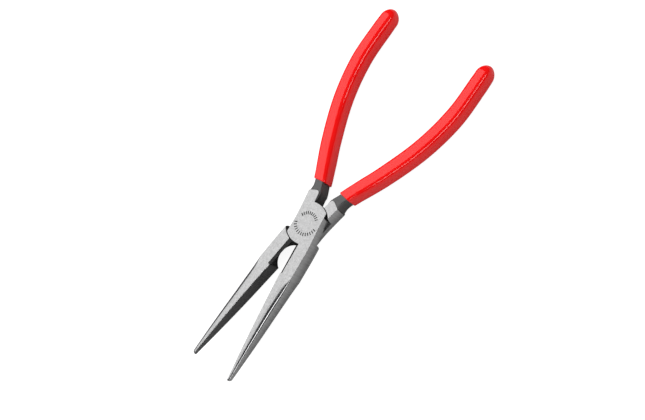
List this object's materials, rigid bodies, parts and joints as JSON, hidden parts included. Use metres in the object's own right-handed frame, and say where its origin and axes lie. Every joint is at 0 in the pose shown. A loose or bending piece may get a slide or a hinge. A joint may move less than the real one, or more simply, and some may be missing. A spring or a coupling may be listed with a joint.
{
  "type": "long-nose pliers",
  "caption": "Long-nose side-cutting pliers with a flush riveted lap joint, tapered half-round jaws and dipped red grips.",
  "frame": {"origin": "pivot axis where it meets the underside of the joint, which the pliers rest on when they lie flat", "axes": "+Z along the pivot axis, up from the surface the pliers lie on; the tips point along -Y and the grips along +Y; +X to the side of the front half's jaw"},
  "size_m": [0.0712, 0.1978, 0.0095],
  "materials": {
    "steel": "satin ground faces and noses, dark oxide necks and inner faces",
    "rivet": "ground flush with the joint",
    "grip": "smooth glossy dipped vinyl"
  },
  "bodies": {
    "rear": {"rear_half": "steel", "rear_grip": "grip", "rivet": "rivet"},
    "front": {"front_half": "steel", "front_grip": "grip"}
  },
  "joints": [
    {"name": "pivot", "type": "hinge", "parent": "rear", "child": "front", "pos_m": [0, 0, 0.00475], "axis": [0, 0, 1], "range_deg": [-16, 34]}
  ]
}
